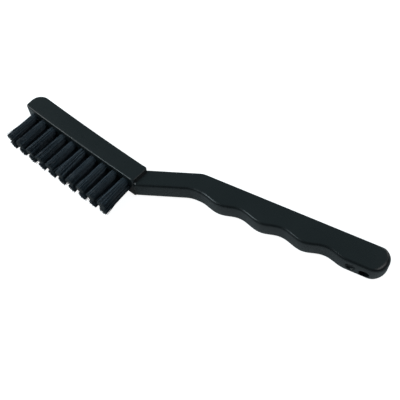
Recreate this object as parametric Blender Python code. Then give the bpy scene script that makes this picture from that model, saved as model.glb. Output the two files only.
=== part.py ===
"""Anti-static brush: one moulded body with a grooved handle, and two rows of anchored tufts.

The brush lies on its side. X runs from the toe of the head to the end of the handle, the bristles
point to -Y, and Z goes through the thickness. Lengths are in metres, and angles in degrees.
"""
import math

import bmesh
import bpy
import numpy as np
from mathutils import Matrix, Vector

# Tufts and the sockets that hold them
tufts_per_row = 10
tuft_pitch = 0.0064
row_stagger = 0.0005
socket_diameter = 0.0036
socket_wall = 0.0005
socket_depth = 0.0060
fit_gap = 0.0003
bristle_length = 0.0160
strand_rings = 2
strand_width = 0.00034
strand_sides = 3
strand_sink = 0.0004
strand_patterns = 4
tuft_spread = 0.0005
tuft_fan = 0.5

# Flat wire anchor that pins each folded tuft
anchor_thickness = 0.0004
anchor_height = 0.0016
anchor_bite = 0.0003
fold_thickness = 0.0009

# Head of the moulding
toe_margin = 0.0054
heel_margin = 0.0045
heel_lean = 0.0007
side_margin = 0.0026
head_height = 0.0093
toe_height = 0.0096
head_bow = 0.0004
head_step = 0.0080
head_edge_radius = 0.0007
toe_back_radius = 0.0056
toe_face_radius = 0.0016
heel_radius = 0.0024

# Neck, which lifts the handle away from the bristle side
neck_angle = 34.2
neck_rise = 0.00045
neck_height = 0.0087
neck_length = 0.0247
neck_root_height = 0.0001
neck_overlap = 0.0070
neck_fillet_radius = 0.0030

# Handle, measured along its straight back from the bend above the neck
handle_angle = 12.5
plain_length = 0.0160
handle_width = 0.0090
handle_height_first = 0.0119
handle_height_last = 0.0128
handle_height_end = 0.0125
handle_edge_radius = 0.0013
bend_radius = 0.0100
palm_radius = 0.0120
end_back_radius = 0.0050
end_face_radius = 0.0067

# Finger grooves on the handle's underside
groove_count = 3
groove_pitch = 0.0197
groove_depth = 0.0020
groove_lean = 0.01
first_ridge = 0.0129

# Hanging hole, and the shallow round recess beside it
hole_diameter = 0.0045
hole_inset = 0.0081
hole_offset = 0.0015
recess_diameter = 0.0043
recess_depth = 0.0009
recess_spacing = 0.0062

# Cutters: how far they reach past the face they enter, and how many sides the round ones have
cutter_reach = 0.0020
socket_sides = 20
plug_sides = 18
hole_sides = 28

# Sizes that follow from those above
neighbour_distance = socket_diameter + socket_wall
row_spacing = math.sqrt(neighbour_distance ** 2 - row_stagger ** 2)
head_length = toe_margin + (tufts_per_row - 1) * tuft_pitch + row_stagger + heel_margin
head_width = row_spacing + socket_diameter + 2 * side_margin
mid_height = head_width / 2
plug_diameter = socket_diameter - 2 * fit_gap
plug_depth = socket_depth - fit_gap
anchor_length = socket_diameter + 2 * anchor_bite
anchor_depth = plug_depth - fold_thickness - fit_gap - anchor_height / 2
strand_ring_radius = plug_diameter / 2 - 0.75 * strand_width
last_finger_ridge = first_ridge + (groove_count - 1) * groove_pitch
plain_start = first_ridge + groove_count * groove_pitch
wave_start = first_ridge - groove_pitch / 2
handle_length = plain_start + plain_length
merge_distance = 0.000001


def polar(length, degrees):
    """Vector of that length, turned from +X towards +Y."""
    angle = math.radians(degrees)
    return Vector((length * math.cos(angle), length * math.sin(angle)))


def arc_points(before, corner, after, radius, steps=7):
    """Points of the arc that rounds a corner between two straight edges."""
    to_before = (before - corner).normalized()
    to_after = (after - corner).normalized()
    half = to_before.angle(to_after) / 2
    reach = radius / math.tan(half)
    start = corner + to_before * reach
    centre = corner + (to_before + to_after).normalized() * radius / math.sin(half)
    arm = start - centre
    turn = math.pi - 2 * half
    if to_before.cross(to_after) > 0:
        turn = -turn
    return [centre + Matrix.Rotation(turn * i / steps, 2) @ arm for i in range(steps + 1)]


def rounded(corners):
    """Closed outline from (point, radius) pairs. Two arcs that meet on a short edge share it."""
    count = len(corners)
    neighbours = [(corners[i - 1][0], corners[(i + 1) % count][0]) for i in range(count)]
    reaches = []
    for (corner, radius), (before, after) in zip(corners, neighbours):
        reaches.append(radius / math.tan((before - corner).angle(after - corner) / 2))
    points = []
    for i, (corner, radius) in enumerate(corners):
        if radius == 0:
            points.append(corner)
            continue
        before, after = neighbours[i]
        room_before = (before - corner).length / (reaches[i] + reaches[i - 1])
        room_after = (after - corner).length / (reaches[i] + reaches[(i + 1) % count])
        points.extend(arc_points(before, corner, after, radius * min(1, room_before, room_after)))
    return points


def divided(points, longest):
    """The same closed outline, with its long edges cut into even pieces."""
    result = []
    for i, start in enumerate(points):
        stop = points[(i + 1) % len(points)]
        pieces = max(1, round((stop - start).length / longest))
        result.extend(start.lerp(stop, step / pieces) for step in range(pieces))
    return result


def bow_at(x):
    """How far the head's edges sag towards the bristles at x."""
    across = 2 * x / head_length - 1
    return head_bow * (1 - across ** 2)


def head_outline():
    """Side view of the head: rounded toe, leaning heel, both long edges slightly bowed."""
    corners = [
        (Vector((0, 0)), toe_face_radius),
        (Vector((head_length, 0)), heel_radius),
        (Vector((head_length + heel_lean, head_height)), head_edge_radius),
        (Vector((0, toe_height)), toe_back_radius),
    ]
    points = divided(rounded(corners), head_step)
    return [Vector((p.x, p.y - bow_at(p.x))) for p in points]


class HandleFrame:
    """Distances along the handle's back (u) and down from it (v), laid out in the side view.

    The neck's back starts a little above the head's heel, and its bend is where both are nothing.
    """

    neck_start = Vector((head_length + heel_lean, head_height)) + polar(neck_rise, neck_angle + 90)
    origin = neck_start + polar(neck_length, neck_angle)
    along = polar(1, handle_angle)
    down = polar(1, handle_angle - 90)

    @classmethod
    def point(cls, u, v):
        return cls.origin + cls.along * u + cls.down * v

    @classmethod
    def local(cls, point):
        offset = point - cls.origin
        return offset.dot(cls.along), offset.dot(cls.down)


def ridge_height(u):
    """Height of the handle at its ridges: it grows to the last finger ridge, and is less beyond it."""
    ridges = (first_ridge, last_finger_ridge, plain_start)
    return float(np.interp(u, ridges, (handle_height_first, handle_height_last, handle_height_end)))


def handle_height(u):
    """Height of the handle: a row of smooth waves as far as the last ridge, then plain."""
    if u > plain_start:
        return ridge_height(u)
    turn = (u - first_ridge) / groove_pitch
    turn = turn - math.floor(turn)
    turn = turn + 4 * groove_lean * turn * (1 - turn)
    return ridge_height(u) - groove_depth * (1 - math.cos(2 * math.pi * turn)) / 2


def handle_outline():
    """Side view of the neck and the handle, with the neck's root inside the head."""
    heel = HandleFrame.neck_start
    neck_along = polar(1, neck_angle)
    neck_down = polar(1, neck_angle - 90)
    palm_height = handle_height(wave_start)

    # where the neck's underside meets the head's heel, and where it meets the first hollow
    under = heel + neck_down * neck_height
    root = under + neck_along * ((neck_root_height - under.y) / neck_along.y)
    u_under, v_under = HandleFrame.local(under)
    slope = math.tan(math.radians(neck_angle - handle_angle))
    palm = HandleFrame.point(u_under + (v_under - palm_height) / slope, palm_height)

    steps = 16 * groove_count + 8
    wave = [wave_start + (plain_start - wave_start) * i / steps for i in range(steps + 1)]

    corners = [
        (Vector((head_length - neck_overlap, neck_root_height)), 0),
        (root, neck_fillet_radius),
        (palm, palm_radius),
    ]
    corners += [(HandleFrame.point(u, handle_height(u)), 0) for u in wave]
    corners += [
        (HandleFrame.point(handle_length, ridge_height(handle_length)), end_face_radius),
        (HandleFrame.point(handle_length, 0), end_back_radius),
        (HandleFrame.origin, bend_radius),
        (heel - neck_along * neck_overlap, 0),
    ]
    return rounded(corners)


def collection(name):
    """New collection in the scene."""
    group = bpy.data.collections.new(name)
    bpy.context.scene.collection.children.link(group)
    return group


def material(name, colour, roughness, metallic=0.0):
    """Plain Principled material."""
    finish = bpy.data.materials.new(name)
    finish.use_nodes = True
    shader = finish.node_tree.nodes["Principled BSDF"]
    shader.inputs["Base Color"].default_value = (*colour, 1)
    shader.inputs["Roughness"].default_value = roughness
    shader.inputs["Metallic"].default_value = metallic
    finish.diffuse_color = (*colour, 1)
    return finish


def add_object(name, mesh, group, finish=None, place=None):
    """Object for a mesh, in a collection, with its material and its place."""
    item = bpy.data.objects.new(name, mesh)
    group.objects.link(item)
    if finish:
        mesh.materials.clear()
        mesh.materials.append(finish)
    if place:
        item.matrix_world = place
    return item


def hide_cutter(cutter):
    """Marks an object as a tool for a Boolean."""
    cutter.hide_render = True
    cutter.display_type = "WIRE"


def boolean(target, tool, operation):
    """Boolean modifier with the exact solver."""
    step = target.modifiers.new(operation.title(), "BOOLEAN")
    step.operation = operation
    step.solver = "EXACT"
    step.object = tool


def smooth(mesh, degrees=35):
    """Shades round stretches smooth and keeps real edges."""
    mesh.shade_smooth()
    mesh.set_sharp_from_angle(angle=math.radians(degrees))


def evaluated_mesh(item):
    """The object's mesh with its modifiers applied and loose caps welded."""
    bpy.context.view_layer.update()
    graph = bpy.context.evaluated_depsgraph_get()
    mesh = bpy.data.meshes.new_from_object(item.evaluated_get(graph))
    shape = bmesh.new()
    shape.from_mesh(mesh)
    bmesh.ops.remove_doubles(shape, verts=shape.verts, dist=merge_distance)
    bmesh.ops.recalc_face_normals(shape, faces=shape.faces)
    shape.to_mesh(mesh)
    shape.free()
    return mesh


def slab(name, outline, width, edge_radius, group):
    """Solid of a side view, centred on the brush's middle plane, with rounded long edges."""
    curve = bpy.data.curves.new(name, "CURVE")
    curve.dimensions = "2D"
    curve.fill_mode = "BOTH"
    curve.extrude = width / 2 - edge_radius
    curve.bevel_depth = edge_radius
    curve.bevel_resolution = 2
    curve.offset = -edge_radius
    spline = curve.splines.new("POLY")
    spline.points.add(len(outline) - 1)
    for point, place in zip(spline.points, outline):
        point.co = (place.x, place.y, 0, 1)
    spline.use_cyclic_u = True
    guide = bpy.data.objects.new(name, curve)
    group.objects.link(guide)
    guide.location.z = mid_height
    mesh = evaluated_mesh(guide)
    mesh.name = name
    mesh.transform(guide.matrix_world)
    bpy.data.objects.remove(guide)
    return add_object(name, mesh, group)


def tuft_places():
    """Name and place of each tuft: its mouth on the bristle face, local Z pointing out of it."""
    places = []
    rows = (("a", mid_height + row_spacing / 2, 0), ("b", mid_height - row_spacing / 2, row_stagger))
    for row, z, shift in rows:
        for i in range(tufts_per_row):
            x = toe_margin + tuft_pitch * i + shift
            lean = math.radians(tuft_fan) * (2 * x / head_length - 1)
            turn = Matrix.Rotation(lean, 4, "Z") @ Matrix.Rotation(math.pi / 2, 4, "X")
            places.append((f"{row}_{i + 1:02d}", Matrix.Translation((x, -bow_at(x), z)) @ turn))
    return places


def cylinders_at(name, places, diameter, bottom, top, sides, group):
    """One mesh with a cylinder at each place, from bottom to top along the place's local Z."""
    shape = bmesh.new()
    for place in places:
        middle = Matrix.Translation((0, 0, (bottom + top) / 2))
        bmesh.ops.create_cone(shape, cap_ends=True, segments=sides, radius1=diameter / 2,
                              radius2=diameter / 2, depth=top - bottom, matrix=place @ middle)
    mesh = bpy.data.meshes.new(name)
    shape.to_mesh(mesh)
    shape.free()
    return add_object(name, mesh, group)


def boxes_at(name, places, size, middle, group):
    """One mesh with a box at each place, centred on a point of the place's local frame."""
    shape = bmesh.new()
    for place in places:
        scale = Matrix.Diagonal((*size, 1))
        bmesh.ops.create_cube(shape, size=1, matrix=place @ Matrix.Translation(middle) @ scale)
    mesh = bpy.data.meshes.new(name)
    shape.to_mesh(mesh)
    shape.free()
    return add_object(name, mesh, group)


def build_body(parts, cutters, finish):
    """Moulded body: head and handle in one piece, with sockets, anchor seats, hole and recess."""
    body = slab("body_moulding", head_outline(), head_width, head_edge_radius, parts)
    handle = slab("handle_blank", handle_outline(), handle_width, handle_edge_radius, cutters)
    hide_cutter(handle)
    boolean(body, handle, "UNION")

    places = [place for name, place in tuft_places()]
    sockets = cylinders_at("socket_cutter", places, socket_diameter, -socket_depth, cutter_reach,
                           socket_sides, cutters)
    seat_size = (anchor_length + 2 * fit_gap, anchor_thickness + 2 * fit_gap, anchor_height + 2 * fit_gap)
    seats = boxes_at("anchor_seat_cutter", places, seat_size, (0, 0, -anchor_depth), cutters)

    # the hole's frame has its Z pointing out of the handle's underside
    turn_out = Matrix.Rotation(math.pi / 2, 4, "X")
    out_of_underside = Matrix.Rotation(math.radians(handle_angle), 4, "Z") @ turn_out
    hole_u = handle_length - hole_inset
    recess_u = hole_u - recess_spacing
    hole_mouth = HandleFrame.point(hole_u, handle_height(hole_u))
    recess_mouth = HandleFrame.point(recess_u, handle_height(recess_u))
    hole_place = Matrix.Translation((*hole_mouth, mid_height - hole_offset)) @ out_of_underside
    recess_place = Matrix.Translation((*recess_mouth, mid_height)) @ out_of_underside
    through = handle_height(hole_u) + cutter_reach
    hole = cylinders_at("hole_cutter", [hole_place], hole_diameter, -through, cutter_reach,
                        hole_sides, cutters)
    recess = cylinders_at("recess_cutter", [recess_place], recess_diameter, -recess_depth, cutter_reach,
                          hole_sides, cutters)

    for cutter in (sockets, seats, hole, recess):
        hide_cutter(cutter)
        boolean(body, cutter, "DIFFERENCE")
    body.data.materials.append(finish)
    smooth(body.data)
    return body


def strand_roots(turn):
    """Centres of the strands, as shares of the outer ring's radius, in rings round the middle one."""
    roots = [Vector((0, 0))]
    for ring in range(1, strand_rings + 1):
        count = 6 * ring
        for i in range(count):
            angle = turn + 2 * math.pi * i / count
            roots.append(Vector((math.cos(angle), math.sin(angle))) * ring / strand_rings)
    return roots


def strand_bundle(name, turn, group):
    """Strands of one tuft, which start inside the root plug and spread a little to their tips."""
    shape = bmesh.new()
    for root in strand_roots(turn):
        foot = Vector((*(root * strand_ring_radius), -strand_sink))
        tip = Vector((*(root * (strand_ring_radius + tuft_spread)), bristle_length))
        aim = (tip - foot).to_track_quat("Z", "Y").to_matrix().to_4x4()
        place = Matrix.Translation((foot + tip) / 2) @ aim
        bmesh.ops.create_cone(shape, cap_ends=True, segments=strand_sides, radius1=strand_width / 2,
                              radius2=strand_width / 2, depth=(tip - foot).length, matrix=place)
    mesh = bpy.data.meshes.new(name)
    shape.to_mesh(mesh)
    shape.free()
    return add_object(name, mesh, group)


def tuft_mesh(index, turn, cutters):
    """Mesh of one tuft: the folded root plug, slotted for its anchor, and the strands."""
    here = [Matrix.Identity(4)]
    plug = cylinders_at(f"tuft_plug_{index}", here, plug_diameter, -plug_depth, 0, plug_sides, cutters)
    slot_size = (socket_diameter, anchor_thickness + 2 * fit_gap, anchor_height + 2 * fit_gap)
    slot = boxes_at(f"tuft_slot_{index}", here, slot_size, (0, 0, -anchor_depth), cutters)
    strands = strand_bundle(f"tuft_strands_{index}", turn, cutters)
    boolean(plug, slot, "DIFFERENCE")
    boolean(plug, strands, "UNION")
    mesh = evaluated_mesh(plug)
    mesh.name = f"tuft_{index}"
    smooth(mesh)
    for item in (plug, slot, strands):
        bpy.data.objects.remove(item)
    return mesh


def anchor_mesh():
    """Mesh of one flat wire anchor, lying across the middle of its tuft."""
    shape = bmesh.new()
    scale = Matrix.Diagonal((anchor_length, anchor_thickness, anchor_height, 1))
    bmesh.ops.create_cube(shape, size=1, matrix=Matrix.Translation((0, 0, -anchor_depth)) @ scale)
    mesh = bpy.data.meshes.new("tuft_anchor")
    shape.to_mesh(mesh)
    shape.free()
    return mesh


def build_tufts(parts, cutters, bristle, wire):
    """Two rows of tufts, each with its own anchor; the strand pattern turns from tuft to tuft."""
    turns = [math.radians(60 / strand_patterns * i) for i in range(strand_patterns)]
    meshes = [tuft_mesh(i, turn, cutters) for i, turn in enumerate(turns)]
    anchor = anchor_mesh()
    for i, (name, place) in enumerate(tuft_places()):
        add_object(f"tuft_{name}", meshes[i % strand_patterns], parts, bristle, place)
        add_object(f"anchor_{name}", anchor, parts, wire, place)


def centre_on_floor(parts, cutters):
    """Parents everything to an empty, and moves it so that the origin is under the middle."""
    bpy.context.view_layer.update()
    graph = bpy.context.evaluated_depsgraph_get()
    corners = [item.matrix_world @ Vector(corner) for item in parts.objects
               for corner in item.evaluated_get(graph).bound_box]
    low = [min(corner[i] for corner in corners) for i in range(3)]
    high = [max(corner[i] for corner in corners) for i in range(3)]
    frame = bpy.data.objects.new("brush_frame", None)
    for item in (*parts.objects, *cutters.objects):
        item.parent = frame
    parts.objects.link(frame)
    frame.location = (-(low[0] + high[0]) / 2, -(low[1] + high[1]) / 2, -low[2])


def build():
    """Builds the whole brush in an empty scene."""
    for item in list(bpy.data.objects):
        bpy.data.objects.remove(item)
    parts = collection("anti_static_brush")
    cutters = collection("cutters")
    plastic = material("black_plastic", (0.018, 0.020, 0.021), 0.38)
    bristle = material("conductive_bristle", (0.020, 0.023, 0.028), 0.5)
    wire = material("anchor_wire", (0.75, 0.72, 0.66), 0.3, 1.0)
    build_body(parts, cutters, plastic)
    build_tufts(parts, cutters, bristle, wire)
    centre_on_floor(parts, cutters)


build()
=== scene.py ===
# Looks of the anti-static brush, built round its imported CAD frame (Blender 4.5, metres, +Z up).
# The brush lies on its side: +X runs from the toe to the end of the handle, the bristles point to -Y.
import math

import bpy
import numpy as np
from mathutils import Matrix, Vector


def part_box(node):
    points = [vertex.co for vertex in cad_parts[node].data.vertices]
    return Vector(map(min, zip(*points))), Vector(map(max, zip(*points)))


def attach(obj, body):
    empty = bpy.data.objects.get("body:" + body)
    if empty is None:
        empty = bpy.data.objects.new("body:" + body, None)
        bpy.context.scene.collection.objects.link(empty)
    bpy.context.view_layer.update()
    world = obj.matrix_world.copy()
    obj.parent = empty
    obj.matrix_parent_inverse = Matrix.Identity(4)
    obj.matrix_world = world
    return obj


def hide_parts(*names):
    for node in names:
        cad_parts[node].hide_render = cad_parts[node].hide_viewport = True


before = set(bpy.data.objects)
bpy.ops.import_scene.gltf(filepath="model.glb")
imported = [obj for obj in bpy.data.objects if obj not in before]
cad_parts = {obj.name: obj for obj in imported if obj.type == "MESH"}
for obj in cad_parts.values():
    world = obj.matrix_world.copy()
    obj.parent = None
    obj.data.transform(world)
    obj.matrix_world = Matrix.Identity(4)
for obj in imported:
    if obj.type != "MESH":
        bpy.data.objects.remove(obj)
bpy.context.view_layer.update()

mm = 0.001

# sizes shared by the pieces, as the CAD has them
brush = {
    "toeMargin": 5.4 * mm,
    "tuftPitch": 6.4 * mm,
    "tuftsPerRow": 10,
    "rowStagger": 0.5 * mm,
    "rowSpacing": 4.069 * mm,
    "heelMargin": 4.5 * mm,
    "socketDiameter": 3.6 * mm,
    "socketDepth": 6.0 * mm,
    "headHeight": 9.3 * mm,
    "headBow": 0.4 * mm,
    "tuftFan": 0.5,
}
headLength = (brush["toeMargin"] + (brush["tuftsPerRow"] - 1) * brush["tuftPitch"]
              + brush["rowStagger"] + brush["heelMargin"])
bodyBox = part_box("body_moulding")
toeX = bodyBox[0][0]
faceY = bodyBox[0][1] + brush["headBow"]
headWidth = bodyBox[1][2] - bodyBox[0][2]
midZ = bodyBox[0][2] + headWidth / 2


def sag(x):
    # how far the head bows towards the bristles: a parabola, nothing at either end
    return brush["headBow"] * (1 - (2 * x / headLength - 1) ** 2)


# Shader maths

class Flow:
    # a socket that can be used in Python expressions; each operator adds a Math node

    def __init__(self, graph, socket):
        self.graph = graph
        self.socket = socket

    def math(self, operation, first, second=None):
        values = {0: first} if second is None else {0: first, 1: second}
        return self.graph.node("ShaderNodeMath", {"operation": operation}, values)

    def __add__(self, other):
        return self.math("ADD", self, other)

    def __sub__(self, other):
        return self.math("SUBTRACT", self, other)

    def __rsub__(self, other):
        return self.math("SUBTRACT", other, self)

    def __mul__(self, other):
        return self.math("MULTIPLY", self, other)

    def __pow__(self, other):
        return self.math("POWER", self, other)

    def clamped(self):
        return self.math("MINIMUM", self.math("MAXIMUM", self, 0.0), 1.0)

    __radd__ = __add__
    __rmul__ = __mul__


class Graph:
    # the node tree of one material or world

    def __init__(self, owner):
        owner.use_nodes = True
        self.tree = owner.node_tree
        self.tree.nodes.clear()

    def node(self, kind, settings=None, values=None, output=0):
        made = self.tree.nodes.new(kind)
        for name, value in (settings or {}).items():
            if name == "stops":
                ramp = made.color_ramp
                while len(ramp.elements) < len(value):
                    ramp.elements.new(0.5)
                for element, (place, colour) in zip(ramp.elements, value):
                    element.position = place
                    element.color = (*colour, 1)
            else:
                setattr(made, name, value)
        for name, value in (values or {}).items():
            socket = made.inputs[name]
            if isinstance(value, Flow):
                self.tree.links.new(value.socket, socket)
            else:
                socket.default_value = value
        return Flow(self, made.outputs[output])

    def blend(self, factor, first, second):
        # colour mix; the colours are links or (r, g, b)
        values = {"Factor": factor}
        for name, colour in ((6, first), (7, second)):
            values[name] = colour if isinstance(colour, Flow) else (*colour, 1)
        return self.node("ShaderNodeMix", {"data_type": "RGBA"}, values, output=2)

    def noise(self, place, scale, detail, roughness):
        values = {"Vector": place, "Scale": scale, "Detail": detail, "Roughness": roughness}
        return self.node("ShaderNodeTexNoise", {}, values)

    def bump(self, height, strength, distance):
        values = {"Height": height, "Strength": strength, "Distance": distance}
        return self.node("ShaderNodeBump", {}, values)

    def finish(self, shader, kind="ShaderNodeOutputMaterial"):
        out = self.tree.nodes.new(kind)
        self.tree.links.new(shader.socket, out.inputs["Surface"])


# Finishes

plastic = {
    "colour": (0.0048, 0.0082, 0.0092),
    "colourWorn": (0.0064, 0.0102, 0.0112),
    "roughness": 0.27,
    "roughnessSpread": 0.08,
    "textureScale": 5200.0,
    "textureHeight": 0.012 * mm,
    "textureStrength": 0.12,
    "gritScale": 1040.0,
    "gritShare": 0.6,
    "swirlScale": 70.0,
    "swirlRange": (0.35, 0.70),
    "swirlRoughness": 0.03,
    "specular": 0.5,
}


def mouldedPlastic():
    # black moulding: fine spark texture, a faint flow pattern in colour and gloss
    material = bpy.data.materials.new("mouldedBlackPlastic")
    graph = Graph(material)
    place = graph.node("ShaderNodeTexCoord", output="Object")
    fine = graph.noise(place, plastic["textureScale"], 2.0, 0.6)
    grit = graph.noise(place, plastic["gritScale"], 3.0, 0.55)
    swirl = graph.noise(place, plastic["swirlScale"], 3.0, 0.5)
    low, high = plastic["swirlRange"]
    stops = [(low, (0, 0, 0)), (high, (1, 1, 1))]
    patches = graph.node("ShaderNodeValToRGB", {"stops": stops}, {0: swirl})
    patchy = graph.node("ShaderNodeRGBToBW", {}, {0: patches})
    colour = graph.blend(patchy, plastic["colour"], plastic["colourWorn"])
    roughness = (plastic["roughness"] + (grit - 0.5) * plastic["roughnessSpread"]
                 + patchy * plastic["swirlRoughness"])
    normal = graph.bump(fine + grit * plastic["gritShare"], plastic["textureStrength"],
                        plastic["textureHeight"])
    shader = graph.node("ShaderNodeBsdfPrincipled", {}, {
        "Base Color": colour, "Roughness": roughness, "Normal": normal,
        "Specular IOR Level": plastic["specular"]})
    graph.finish(shader)
    return material


filament = {
    "colour": (0.011, 0.020, 0.029),
    "colourPale": (0.080, 0.112, 0.138),
    "tipHighlightColour": (0.060, 0.066, 0.066),
    "specular": 0.25,
    "roughness": 0.32,
    "tipStart": 0.955,
    "tipHighlightShare": 0.8,
    "tipRoughness": 0.2,
    "rootPaintedLightFade": 2.5,
    "rootPaintedLightShare": 0.35,
    "toneAndSheenShare": 0.8,
    "streakScale": (2600, 260, 2600),
    "streakShare": 0.25,
    "streakRoughness": 0.12,
    "streakStrength": 0.25,
    "streakHeight": 0.01 * mm,
    "shadeRoughness": 0.3,
}


def bristleNylon():
    # conductive filament: own depth of colour per strand, painted sheen stripes on some tufts, painted
    # light at the root, a painted highlight at the cut end; "lit" is painted shade that keeps the far row
    # darker and duller
    material = bpy.data.materials.new("conductiveFilament")
    graph = Graph(material)
    along = graph.node("ShaderNodeAttribute", {"attribute_name": "along"}, output="Fac")
    tone = graph.node("ShaderNodeAttribute", {"attribute_name": "tone"}, output="Fac")
    place = graph.node("ShaderNodeTexCoord", output="Object")
    stretched = graph.node("ShaderNodeMapping", {}, {"Vector": place, "Scale": filament["streakScale"]})
    streak = graph.noise(stretched, 1.0, 2.0, 0.5)
    lit = graph.node("ShaderNodeAttribute", {"attribute_name": "lit"}, output="Fac")
    # painted light: strands are made paler near the mouth, where the head's edge shades them
    root = (1.0 - along * filament["rootPaintedLightFade"]).clamped()
    pale = (tone * filament["toneAndSheenShare"] + (streak - 0.5) * filament["streakShare"]
            + root * filament["rootPaintedLightShare"])
    # painted shade: "lit" scales the pale colour down on the far row
    colour = graph.blend(pale.clamped() * lit, filament["colour"], filament["colourPale"])
    # painted highlight: the cut ends blend towards a pale colour, only where "lit" is high
    end = ((along - filament["tipStart"]) * (1 / (1 - filament["tipStart"]))).clamped()
    colour = graph.blend((end ** 2.0) * lit * filament["tipHighlightShare"], colour, filament["tipHighlightColour"])
    roughness = (filament["roughness"] + streak * filament["streakRoughness"]
                 + end * filament["tipRoughness"] + (1.0 - lit) * filament["shadeRoughness"])
    normal = graph.bump(streak, filament["streakStrength"], filament["streakHeight"])
    shader = graph.node("ShaderNodeBsdfPrincipled", {}, {
        "Base Color": colour, "Roughness": roughness, "Normal": normal,
        "Specular IOR Level": filament["specular"]})
    graph.finish(shader)
    return material


wire = {
    "colour": (0.55, 0.52, 0.47),
    "colourBright": (0.80, 0.77, 0.71),
    "roughness": 0.2,
    "roughnessSpread": 0.2,
    "lineScale": (150, 9000, 9000),
    "lineStrength": 0.2,
    "lineHeight": 0.01 * mm,
}


def anchorWire():
    # flat drawn wire, with fine lines along it
    material = bpy.data.materials.new("drawnWire")
    graph = Graph(material)
    place = graph.node("ShaderNodeTexCoord", output="Object")
    stretched = graph.node("ShaderNodeMapping", {}, {"Vector": place, "Scale": wire["lineScale"]})
    line = graph.noise(stretched, 1.0, 3.0, 0.6)
    colour = graph.blend(line, wire["colour"], wire["colourBright"])
    shader = graph.node("ShaderNodeBsdfPrincipled", {}, {
        "Base Color": colour, "Roughness": line * wire["roughnessSpread"] + wire["roughness"],
        "Metallic": 1.0, "Normal": graph.bump(line, wire["lineStrength"], wire["lineHeight"])})
    graph.finish(shader)
    return material


# Outlines and surfaces

fineness = {
    "arcSteps": 14,
    "edgeRings": 6,
    "longestEdge": 1.5 * mm,
    "hollowSteps": 160,
    "holeSides": 36,
    "socketSides": 28,
    "sharpAngle": 32,
}


def direction(degrees):
    return np.array([math.cos(math.radians(degrees)), math.sin(math.radians(degrees))])


def roundedOutline(corners):
    # closed outline: each corner (x, y, radius) becomes an arc tangent to both edges, which starts
    # reach = r / tan(half angle) from the corner
    smallest = 1e-9
    shares = np.linspace(0, 1, fineness["arcSteps"] + 1)
    points = np.array([corner[:2] for corner in corners], float)
    radius = np.array([corner[2] for corner in corners], float)
    toBefore = np.roll(points, 1, 0) - points
    toAfter = np.roll(points, -1, 0) - points
    before, after = np.linalg.norm(toBefore, axis=1), np.linalg.norm(toAfter, axis=1)
    toBefore /= before[:, None]
    toAfter /= after[:, None]
    half = np.arccos(np.clip((toBefore * toAfter).sum(1), -1, 1)) / 2
    reach = radius / np.tan(half)
    # two arcs that meet on a short edge share it
    room = np.minimum(before / np.maximum(reach + np.roll(reach, 1), smallest),
                      after / np.maximum(reach + np.roll(reach, -1), smallest))
    radius = radius * np.minimum(1, room)
    loop = []
    for i in range(len(points)):
        if radius[i] == 0:
            loop.append(points[i:i + 1])
            continue
        middle = toBefore[i] + toAfter[i]
        centre = points[i] + middle / np.linalg.norm(middle) * radius[i] / math.sin(half[i])
        start = points[i] + toBefore[i] * radius[i] / math.tan(half[i]) - centre
        left = toBefore[i, 0] * toAfter[i, 1] - toBefore[i, 1] * toAfter[i, 0] > 0
        angle = (math.pi - 2 * half[i]) * (-1 if left else 1) * shares
        loop.append(centre + np.stack([start[0] * np.cos(angle) - start[1] * np.sin(angle),
                                       start[0] * np.sin(angle) + start[1] * np.cos(angle)], 1))
    return np.concatenate(loop)


def divided(outline):
    # the same closed outline with its long edges cut into even pieces: start + (end - start) * share
    after = np.roll(outline, -1, 0)
    lengths = np.linalg.norm(after - outline, axis=1)
    pieces = np.maximum(1, np.round(lengths / fineness["longestEdge"])).astype(int)
    which = np.repeat(np.arange(len(outline)), pieces)
    step = np.arange(len(which)) - np.repeat(np.cumsum(pieces) - pieces, pieces)
    share = (step / pieces[which])[:, None]
    return outline[which] * (1 - share) + after[which] * share


def outwardNormals(outline):
    # mitred normals of a counter-clockwise loop: (n1 + n2) / (1 + n1.n2), where n1 and n2 are the
    # two edges turned right
    edge = np.roll(outline, -1, 0) - outline
    after = np.stack([edge[:, 1], -edge[:, 0]], 1) / np.linalg.norm(edge, axis=1, keepdims=True)
    before = np.roll(after, 1, 0)
    return (before + after) / (1 + (before * after).sum(1, keepdims=True))


def newMesh(name, points, faces):
    mesh = bpy.data.meshes.new(name)
    mesh.from_pydata(points.tolist(), [], faces)
    mesh.update()
    return mesh


def newObject(name, mesh, material=None):
    made = bpy.data.objects.new(name, mesh)
    bpy.context.scene.collection.objects.link(made)
    if material:
        mesh.materials.clear()
        mesh.materials.append(material)
    return made


def slabPiece(name, outline, width, edgeRadius):
    # side view given a thickness of 2h: in the rounded edges the loop at height z is drawn in by
    # r - sqrt(r^2 - (|z| - h + r)^2)
    edgeRadius = np.broadcast_to(edgeRadius, len(outline))
    normal = outwardNormals(outline)
    angle = np.linspace(math.pi / 2, 0, fineness["edgeRings"] + 1)
    layers = []
    for sign in (1, -1):
        turns = angle if sign > 0 else angle[::-1]
        for a in turns:
            inset = edgeRadius * (1 - math.cos(a))
            z = sign * (width / 2 - edgeRadius * (1 - math.sin(a)))
            flat = outline - normal * inset[:, None]
            layers.append(np.column_stack([flat, z]))
    points = np.concatenate(layers)
    count, levels = len(outline), len(layers)
    here = np.arange(levels - 1)[:, None] * count + np.arange(count)
    right = np.arange(levels - 1)[:, None] * count + (np.arange(count) + 1) % count
    quads = np.stack([here, here + count, right + count, right], -1).reshape(-1, 4)
    faces = quads.tolist() + [list(range(count)), list(range((levels - 1) * count, levels * count))[::-1]]
    return newObject(name, newMesh(name, points + [toeX, faceY, midZ], faces))


# Moulded body: sizes as the CAD has them, apart from the neck's root and fillet, the heel's radii
# and the softer edge at the handle's end, which are finer here

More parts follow.
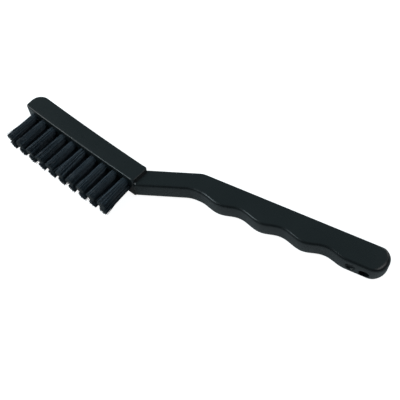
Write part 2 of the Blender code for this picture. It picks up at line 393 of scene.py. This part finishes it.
handle = {
    "neckAngle": 34.2,
    "neckRise": 0.45 * mm,
    "neckHeight": 8.7 * mm,
    "neckLength": 24.7 * mm,
    "neckRootHeight": -0.3 * mm,
    "neckOverlap": 7.0 * mm,
    "neckFillet": 1.2 * mm,
    "buriedRadius": 3.0 * mm,
    "buriedHeight": 2.2 * mm,
    "angle": 12.5,
    "plainLength": 16.0 * mm,
    "width": 9.0 * mm,
    "heightFirst": 11.9 * mm,
    "heightLast": 12.8 * mm,
    "heightEnd": 12.5 * mm,
    "edgeRadius": 1.3 * mm,
    "endEdgeRadius": 2.4 * mm,
    "endEdgeReach": 4.5 * mm,
    "bendRadius": 10.0 * mm,
    "palmRadius": 12.0 * mm,
    "endBackRadius": 5.0 * mm,
    "endFaceRadius": 6.7 * mm,
    "grooves": 3,
    "groovePitch": 19.7 * mm,
    "grooveDepth": 2.0 * mm,
    "grooveLean": 0.01,
    "firstRidge": 12.9 * mm,
    "holeDiameter": 4.5 * mm,
    "holeInset": 8.1 * mm,
    "holeOffset": 1.5 * mm,
    "recessDiameter": 4.3 * mm,
    "recessDepth": 0.9 * mm,
    "recessSpacing": 6.2 * mm,
    "recessProfile": ((0.45, 1.0), (0.80, 0.93), (0.95, 0.6)),
    "rim": 0.25 * mm,
}
head = {
    "heelLean": 0.7 * mm,
    "toeHeight": 9.6 * mm,
    "toeBackRadius": 5.6 * mm,
    "toeFaceRadius": 1.6 * mm,
    "heelRadius": 1.1 * mm,
    "heelTopRadius": 1.3 * mm,
    "edgeRadius": 0.7 * mm,
    "heelEdgeRadius": 0.35 * mm,
    "heelEdgeReach": 2.2 * mm,
    "socketRim": 0.12 * mm,
}
handleAlong = direction(handle["angle"])
handleDown = direction(handle["angle"] - 90)
heelCorner = np.array([headLength + head["heelLean"], brush["headHeight"]])
neckStart = heelCorner + direction(handle["neckAngle"] + 90) * handle["neckRise"]
bendCorner = neckStart + direction(handle["neckAngle"]) * handle["neckLength"]
lastFingerRidge = handle["firstRidge"] + (handle["grooves"] - 1) * handle["groovePitch"]
plainStart = handle["firstRidge"] + handle["grooves"] * handle["groovePitch"]
handleLength = plainStart + handle["plainLength"]


def handlePoint(u, v):
    # u along the handle's straight back from the bend, v down from it
    return bendCorner + np.multiply.outer(u, handleAlong) + np.multiply.outer(v, handleDown)


def ridgeHeight(u):
    # straight lines between the heights at the first ridge, the last one and the plain end
    ridges = (handle["firstRidge"], lastFingerRidge, plainStart)
    return np.interp(u, ridges, (handle["heightFirst"], handle["heightLast"], handle["heightEnd"]))


def handleHeight(u):
    # ridge height - depth * (1 - cos(2 pi t)) / 2, where t runs from 0 to 1 over each hollow and is
    # leaned towards the end by 4 lean t (1 - t)
    turn = (u - handle["firstRidge"]) / handle["groovePitch"] % 1
    turn = turn + 4 * handle["grooveLean"] * turn * (1 - turn)
    hollow = handle["grooveDepth"] * (1 - np.cos(2 * math.pi * turn)) / 2
    return ridgeHeight(u) - np.where(u < plainStart, hollow, 0)


def handleOutline():
    # side view of neck and handle: straight lines and arcs, with the hollows' curve along the face
    neckAlong = direction(handle["neckAngle"])
    neckDown = direction(handle["neckAngle"] - 90)
    under = neckStart + neckDown * handle["neckHeight"]
    root = under + neckAlong * ((handle["neckRootHeight"] - under[1]) / neckAlong[1])
    waveStart = handle["firstRidge"] - handle["groovePitch"] / 2
    palmHeight = float(handleHeight(np.array(waveStart)))
    uUnder, vUnder = (under - bendCorner) @ handleAlong, (under - bendCorner) @ handleDown
    slope = math.tan(math.radians(handle["neckAngle"] - handle["angle"]))
    palm = handlePoint(uUnder + (vUnder - palmHeight) / slope, palmHeight)
    u = np.linspace(waveStart, plainStart, fineness["hollowSteps"])
    wave = handlePoint(u, 0 * u) + handleHeight(u)[:, None] * handleDown
    endFace = handlePoint(handleLength, handle["heightEnd"])
    endBack = handlePoint(handleLength, 0)
    innerEnd = neckStart - neckAlong * handle["neckOverlap"]
    corners = [(headLength - handle["neckOverlap"], handle["buriedHeight"], handle["buriedRadius"]),
               (*root, handle["neckFillet"]), (*palm, handle["palmRadius"])]
    corners += [(x, y, 0) for x, y in wave]
    corners += [(*endFace, handle["endFaceRadius"]), (*endBack, handle["endBackRadius"]),
                (*bendCorner, handle["bendRadius"]), (*innerEnd, handle["buriedRadius"])]
    return divided(roundedOutline(corners))


def headOutline():
    # side view of the head: four rounded corners, then every point moved down by sag(x)
    outline = divided(roundedOutline([
        (0, 0, head["toeFaceRadius"]), (headLength, 0, head["heelRadius"]),
        (headLength + head["heelLean"], brush["headHeight"], head["heelTopRadius"]),
        (0, head["toeHeight"], head["toeBackRadius"])]))
    outline[:, 1] -= sag(outline[:, 0])
    return outline


def tuftPlaces():
    # name and matrix of each tuft's mouth, local Z pointing out of the bristle face
    for row, side, shift in (("a", 0.5, 0), ("b", -0.5, brush["rowStagger"])):
        for i in range(brush["tuftsPerRow"]):
            x = brush["toeMargin"] + brush["tuftPitch"] * i + shift
            lean = math.radians(brush["tuftFan"]) * (2 * x / headLength - 1)
            turn = Matrix.Rotation(lean, 4, "Z") @ Matrix.Rotation(math.pi / 2, 4, "X")
            place = Matrix.Translation((toeX + x, faceY - sag(x), midZ + side * brush["rowSpacing"]))
            yield f"{row}_{i + 1:02d}", place @ turn


def drill(name, places, profile, sides):
    # turned cutters: the profile's (radius, height) pairs swept round the local Z of each place
    profile = np.array(profile)
    angle = np.arange(sides) * 2 * math.pi / sides
    ring = np.stack([np.cos(angle), np.sin(angle)], 1)
    local = np.concatenate([np.column_stack([ring * r, np.full(sides, z)]) for r, z in profile])
    levels = len(profile)
    here = np.arange(levels - 1)[:, None] * sides + np.arange(sides)
    right = np.arange(levels - 1)[:, None] * sides + (np.arange(sides) + 1) % sides
    quads = np.stack([here, right, right + sides, here + sides], -1).reshape(-1, 4).tolist()
    caps = [list(range(sides))[::-1], list(range((levels - 1) * sides, levels * sides))]
    points, faces = [], []
    for place in places:
        base = len(points) * len(local)
        matrix = np.array(place)
        points.append(local @ matrix[:3, :3].T + matrix[:3, 3])
        faces += [[base + i for i in face] for face in quads + caps]
    return newObject(name, newMesh(name, np.concatenate(points), faces))


def carve(target, tools):
    # joins or cuts the tools one after the other, and keeps the result as the target's mesh
    for tool, operation in tools:
        step = target.modifiers.new(operation, "BOOLEAN")
        step.operation = operation
        step.solver = "EXACT"
        step.object = tool
    bpy.context.view_layer.update()
    graph = bpy.context.evaluated_depsgraph_get()
    mesh = bpy.data.meshes.new_from_object(target.evaluated_get(graph))
    target.modifiers.clear()
    target.data = mesh
    for tool, operation in tools:
        bpy.data.objects.remove(tool)


def buildBody(material):
    outline = handleOutline()
    u = (outline - bendCorner) @ handleAlong
    nearEnd = np.clip((u - handleLength + handle["endEdgeReach"]) / handle["endEdgeReach"], 0, 1)
    nearEnd = nearEnd ** 2 * (3 - 2 * nearEnd)
    edges = handle["edgeRadius"] + (handle["endEdgeRadius"] - handle["edgeRadius"]) * nearEnd
    side = headOutline()
    nearHeel = np.clip((side[:, 0] - headLength + head["heelEdgeReach"]) / head["heelEdgeReach"], 0, 1)
    headEdges = head["edgeRadius"] + (head["heelEdgeRadius"] - head["edgeRadius"]) * nearHeel
    body = slabPiece("bodyMoulding", side, headWidth, headEdges)
    grip = slabPiece("gripBlank", outline, handle["width"], edges)

    turn = Matrix.Rotation(math.radians(handle["angle"]), 4, "Z") @ Matrix.Rotation(math.pi / 2, 4, "X")
    uHole = handleLength - handle["holeInset"]
    uRecess = uHole - handle["recessSpacing"]
    mouths = []
    for u, offset in ((uHole, handle["holeOffset"]), (uRecess, 0)):
        x, y = handlePoint(u, float(handleHeight(np.array(u))))
        mouths.append(Matrix.Translation((toeX + x, faceY + y, midZ - offset)) @ turn)
    rim = handle["rim"]
    r = handle["holeDiameter"] / 2
    through = handle["heightEnd"]
    bore = [(r + rim * 2, -through - rim), (r + rim, -through), (r, -through + rim),
            (r, -rim), (r + rim, 0), (r + rim * 2, rim)]
    hole = drill("holeCutter", mouths[:1], bore, fineness["holeSides"])
    r = handle["recessDiameter"] / 2
    dish = [(r * out, -handle["recessDepth"] * down) for out, down in handle["recessProfile"]]
    dish += [(r, -rim * 0.6), (r + rim * 0.6, 0), (r + rim * 1.6, rim)]
    recess = drill("recessCutter", mouths[1:], dish, fineness["holeSides"])
    # the sockets' cutters flare on past the face, because the face bows
    r = brush["socketDiameter"] / 2
    soft = head["socketRim"]
    places = [place for name, place in tuftPlaces()]
    socket = [(r, -brush["socketDepth"]), (r, -soft), (r + soft, 0), (r + soft * 9, soft * 8)]
    sockets = drill("socketCutter", places, socket, fineness["socketSides"])
    carve(body, [(grip, "UNION"), (sockets, "DIFFERENCE"), (hole, "DIFFERENCE"), (recess, "DIFFERENCE")])
    body.data.materials.clear()
    body.data.materials.append(material)
    body.data.shade_smooth()
    body.data.set_sharp_from_angle(angle=math.radians(fineness["sharpAngle"]))
    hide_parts("body_moulding")
    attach(body, "root")


# Tufts

tuft = {
    "filaments": 190,
    "filamentRadius": 0.11 * mm,
    "sides": 5,
    "length": 16.0 * mm,
    "sunk": 2.8 * mm,
    "rootRadius": 1.70 * mm,
    "bellyRadius": 1.90 * mm,
    "bellyHeight": 1.6 * mm,
    "midHeights": (5.0 * mm, 10.0 * mm),
    "tipRadius": 2.10 * mm,
    "tipRadiusAlong": 2.15 * mm,
    "spreadPower": 1.4,
    "cutRoughness": 0.16 * mm,
    "cutDome": 0.10 * mm,
    "seatSpread": 0.02,
    "wander": 0.09 * mm,
    "rowSag": 0.9 * mm,
    "sagPower": 1.5,
    "shiftHeight": 2 * mm,
    "strays": 2,
    "strayFrom": 0.85,
    "strayBend": 0.9 * mm,
    "sheenStripeRate": 14,
    "sheenStripeSpread": 0.3,
    "plainTone": 0.30,
    "plainSpread": 0.15,
    "plainSheenStriping": 0.25,
}
# how single tufts differ: shift towards the heel just outside the mouth and at the tips, and girth
tuftHabits = {
    "a_01": (0.1 * mm, 0.1 * mm, 0.95), "b_01": (0.1 * mm, 0.3 * mm, 0.95),
    "b_10": (-0.15 * mm, -0.3 * mm, 0.95),
}
# how much of the pale colour shows, by row and by tuft: painted shade, darker on the far row, which lies
# in the near row's shade
rowLit = {"a": 1.0, "b": 0.25, "b_10": 1.0}
# tufts with marked pale stripes along them: painted sheen standing in for the filaments' highlights
sheenStripedTufts = {"a_01": 0.4, "a_03": 1.1, "a_06": 1.0, "a_08": 0.8, "a_09": 0.35, "a_10": 1.25,
                "b_10": 1.1}


def tuftShape(name, place, seed):
    # centre line of each strand: seat * radius(height) + bend * share^2 + shift, where share is the
    # height over the length, and seat sqrt(i / count) at i golden angles, as in a sunflower head
    rng = np.random.default_rng(seed)
    count = tuft["filaments"]
    index = np.arange(count)
    radius = np.sqrt((index + 0.5) / count)
    angle = index * math.pi * (3 - math.sqrt(5)) + rng.uniform(0, 2 * math.pi)
    seat = np.stack([np.cos(angle), np.sin(angle)], 1) * radius[:, None]
    seat += rng.normal(0, tuft["seatSpread"], seat.shape)

    stations = np.array([-tuft["sunk"], 0.0, tuft["bellyHeight"], *tuft["midHeights"], tuft["length"]])
    share = np.clip(stations / tuft["length"], 0, 1)
    belly = np.interp(stations, (0, tuft["bellyHeight"]), (tuft["rootRadius"], tuft["bellyRadius"]))
    early, late, girth = tuftHabits.get(name, (0, 0, 1))
    spread = share ** tuft["spreadPower"]
    across = (belly + (tuft["tipRadius"] - tuft["bellyRadius"]) * spread) * girth
    lengthways = (belly + (tuft["tipRadiusAlong"] - tuft["bellyRadius"]) * spread) * girth
    shift = np.interp(stations, (0, tuft["shiftHeight"], tuft["length"]), (0, early, late))
    reach = tuft["length"] + rng.normal(0, tuft["cutRoughness"], count)
    height = np.repeat(stations[None], count, 0)
    height[:, -1] = reach - tuft["cutDome"] * (1 - radius ** 2)

    bend = rng.normal(0, tuft["wander"], (count, 2))
    stray = rng.choice(np.flatnonzero(radius > tuft["strayFrom"]), tuft["strays"], replace=False)
    bend[stray] += seat[stray] * tuft["strayBend"]
    x = seat[:, :1] * lengthways + bend[:, :1] * share ** 2 + shift
    # the far row hangs a little towards the floor
    sink = np.array(place)[2, 1] * (tuft["rowSag"] if name[0] == "b" else 0.0)
    y = seat[:, 1:] * across + bend[:, 1:] * share ** 2 - sink * share ** tuft["sagPower"]
    centre = np.stack([x, y, height], -1)

    turn = np.arange(tuft["sides"]) * 2 * math.pi / tuft["sides"]
    ring = np.stack([np.cos(turn), np.sin(turn), 0 * turn], 1) * tuft["filamentRadius"]
    # this draw is left unused: it only advances the generator for the draws after it
    rng.uniform(0, 2 * math.pi, count)
    points = centre[:, :, None, :] + ring
    levels, sides = len(stations), tuft["sides"]
    matrix = np.array(place)
    world = points.reshape(-1, 3) @ matrix[:3, :3].T + matrix[:3, 3]

    level = np.arange(levels - 1)[:, None] * sides
    here = level + np.arange(sides)
    right = level + (np.arange(sides) + 1) % sides
    quads = np.stack([here, right, right + sides, here + sides], -1).reshape(-1, 4)
    starts = index * levels * sides
    sideFaces = (starts[:, None, None] + quads).reshape(-1, 4).tolist()
    top = starts[:, None] + (levels - 1) * sides + np.arange(sides)
    bottom = starts[:, None] + np.arange(sides)[::-1]
    mesh = newMesh(name, world, sideFaces + top.tolist() + bottom.tolist())

    along = np.repeat(np.repeat(share[None], count, 0).reshape(-1), sides)
    # painted sheen: pale stripes across each tuft, strongest on the listed tufts; the even part is random
    # tone
    sheenStriped = sheenStripedTufts.get(name, tuft["plainSheenStriping"])
    wave = seat[:, 0] * tuft["sheenStripeRate"] + rng.uniform(0, 2 * math.pi)
    sheenStripe = (0.5 + 0.5 * np.sin(wave + rng.normal(0, tuft["sheenStripeSpread"], count))) ** 2
    even = tuft["plainTone"] + rng.uniform(-tuft["plainSpread"], tuft["plainSpread"], count)
    tone = np.repeat(sheenStriped * sheenStripe + (1 - sheenStriped) * even, levels * sides)
    # painted shade: the far row's strands get a low "lit" value
    lit = np.full(len(tone), rowLit.get(name, rowLit[name[0]]))
    for attribute, values in (("along", along), ("tone", tone), ("lit", lit)):
        layer = mesh.attributes.new(attribute, "FLOAT", "POINT")
        layer.data.foreach_set("value", values.astype(np.float32))
    smooth = np.ones(len(mesh.polygons), bool)
    smooth[len(sideFaces):] = False
    mesh.polygons.foreach_set("use_smooth", smooth)
    return mesh


def buildTufts(material):
    for seed, (name, place) in enumerate(tuftPlaces()):
        piece = newObject("tuftFilaments_" + name, tuftShape(name, place, seed), material)
        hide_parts("tuft_" + name)
        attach(piece, "root")


print("making the finishes")
plasticFinish = mouldedPlastic()
bristleFinish = bristleNylon()
wireFinish = anchorWire()
print("making the body")
buildBody(plasticFinish)
print("making the tufts")
buildTufts(bristleFinish)
for name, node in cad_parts.items():
    if name.startswith("anchor"):
        node.data.materials.clear()
        node.data.materials.append(wireFinish)

# Floor, light and camera

studio = {
    "floorSize": 6.0,
    "floorColour": (0.43, 0.485, 0.505),
    "floorGlow": 0.93,
    "floorInGloss": 0.05,
    "panelColour": (0.215, 0.290, 0.310),
    "panelTowards": (-0.38, 0.40, 0.83),
    "panelRange": (0.66, 0.90),
    "roomColour": (0.075, 0.084, 0.090),
}
# azimuth, elevation and half width in degrees, radiance, tint
lamps = {
    "keyBox": (-158, 32, 16, 4, (1, 1, 1)),
    "sheenBox": (158, 10, 10, 2, (1, 1, 1)),
    "sideBox": (75, 20, 16, 1, (1, 1, 1)),
    "edgeBox": (-129, 49, 9, 8, (0.76, 0.93, 1.0)),
    "rimBox": (22, 50, 14, 1.8, (1, 1, 1)),
}
view = {
    "azimuth": 42.93,
    "elevation": 60.03,
    "roll": 4.12,
    "lens": 63.17,
    "sensor": 36,
    "place": (0.1114, -0.1116, 0.2733),
}


def buildFloor():
    # pale floor that keeps shadows; it glows white to the camera, and a little in the brush's gloss
    half = studio["floorSize"] / 2
    corners = np.array([[-half, -half, 0], [half, -half, 0], [half, half, 0], [-half, half, 0]])
    material = bpy.data.materials.new("paleFloor")
    graph = Graph(material)
    camera = graph.node("ShaderNodeLightPath", output="Is Camera Ray")
    glossy = graph.node("ShaderNodeLightPath", output="Is Glossy Ray")
    clear = graph.node("ShaderNodeLightPath", output="Is Transmission Ray")
    matt = graph.node("ShaderNodeBsdfDiffuse", {}, {"Color": (*studio["floorColour"], 1)})
    white = graph.node("ShaderNodeEmission", {}, {"Strength": studio["floorGlow"]})
    lit = graph.node("ShaderNodeAddShader", {}, {0: matt, 1: white})
    seen = (camera + (glossy + clear) * studio["floorInGloss"]).clamped()
    graph.finish(graph.node("ShaderNodeMixShader", {}, {0: seen, 1: matt, 2: lit}))
    floor = newObject("floor", newMesh("floor", corners, [[0, 1, 2, 3]]), material)


def buildWorld():
    # dim room with one wide pale panel overhead, behind the brush
    world = bpy.data.worlds.new("studio")
    bpy.context.scene.world = world
    graph = Graph(world)
    look = graph.node("ShaderNodeTexCoord", output="Generated")
    towards = graph.node("ShaderNodeVectorMath", {"operation": "DOT_PRODUCT"},
                         {0: look, 1: studio["panelTowards"]}, output="Value")
    low, high = studio["panelRange"]
    panel = graph.node("ShaderNodeMapRange", {"interpolation_type": "SMOOTHSTEP"},
                       {0: towards, 1: low, 2: high, 3: 0.0, 4: 1.0})
    colour = graph.blend(panel, studio["roomColour"], studio["panelColour"])
    seen = graph.node("ShaderNodeLightPath", output="Is Camera Ray")
    colour = graph.blend(seen, colour, (1, 1, 1))
    graph.finish(graph.node("ShaderNodeBackground", {}, {"Color": colour}), "ShaderNodeOutputWorld")


def softbox(name, azimuth, elevation, spread, radiance, tint):
    # square area lamp a metre away, seen from the brush at those angles; power = radiance * pi * area
    width = 2 * math.tan(math.radians(spread))
    lamp = bpy.data.lights.new(name, "AREA")
    lamp.size = width
    lamp.energy = radiance * math.pi * width ** 2
    lamp.color = tint
    made = bpy.data.objects.new(name, lamp)
    bpy.context.scene.collection.objects.link(made)
    flat = direction(azimuth) * math.cos(math.radians(elevation))
    aim = Vector((*flat, math.sin(math.radians(elevation))))
    made.location = aim
    made.rotation_euler = aim.to_track_quat("Z", "Y").to_euler()


def buildCamera():
    # stands where the photograph was taken from: looks along the azimuth and elevation, rolled a little
    a, e, r = (math.radians(view[key]) for key in ("azimuth", "elevation", "roll"))
    back = np.array([math.sin(a) * math.cos(e), -math.cos(a) * math.cos(e), math.sin(e)])
    right = np.cross(-back, [0, 0, 1])
    right /= np.linalg.norm(right)
    down = np.cross(-back, right)
    x = math.cos(r) * right + math.sin(r) * down
    y = math.sin(r) * right - math.cos(r) * down
    matrix = Matrix(np.stack([x, y, back], 1).tolist()).to_4x4()
    matrix.translation = view["place"]
    lens = bpy.data.cameras.new("camera")
    lens.sensor_width = view["sensor"]
    lens.lens = view["lens"]
    lens.clip_start = 0.01
    made = bpy.data.objects.new("camera", lens)
    bpy.context.scene.collection.objects.link(made)
    made.matrix_world = matrix
    bpy.context.scene.camera = made


print("making the studio")
buildFloor()
buildWorld()
for name, values in lamps.items():
    softbox(name, *values)
buildCamera()
bpy.context.scene.view_settings.view_transform = "Standard"
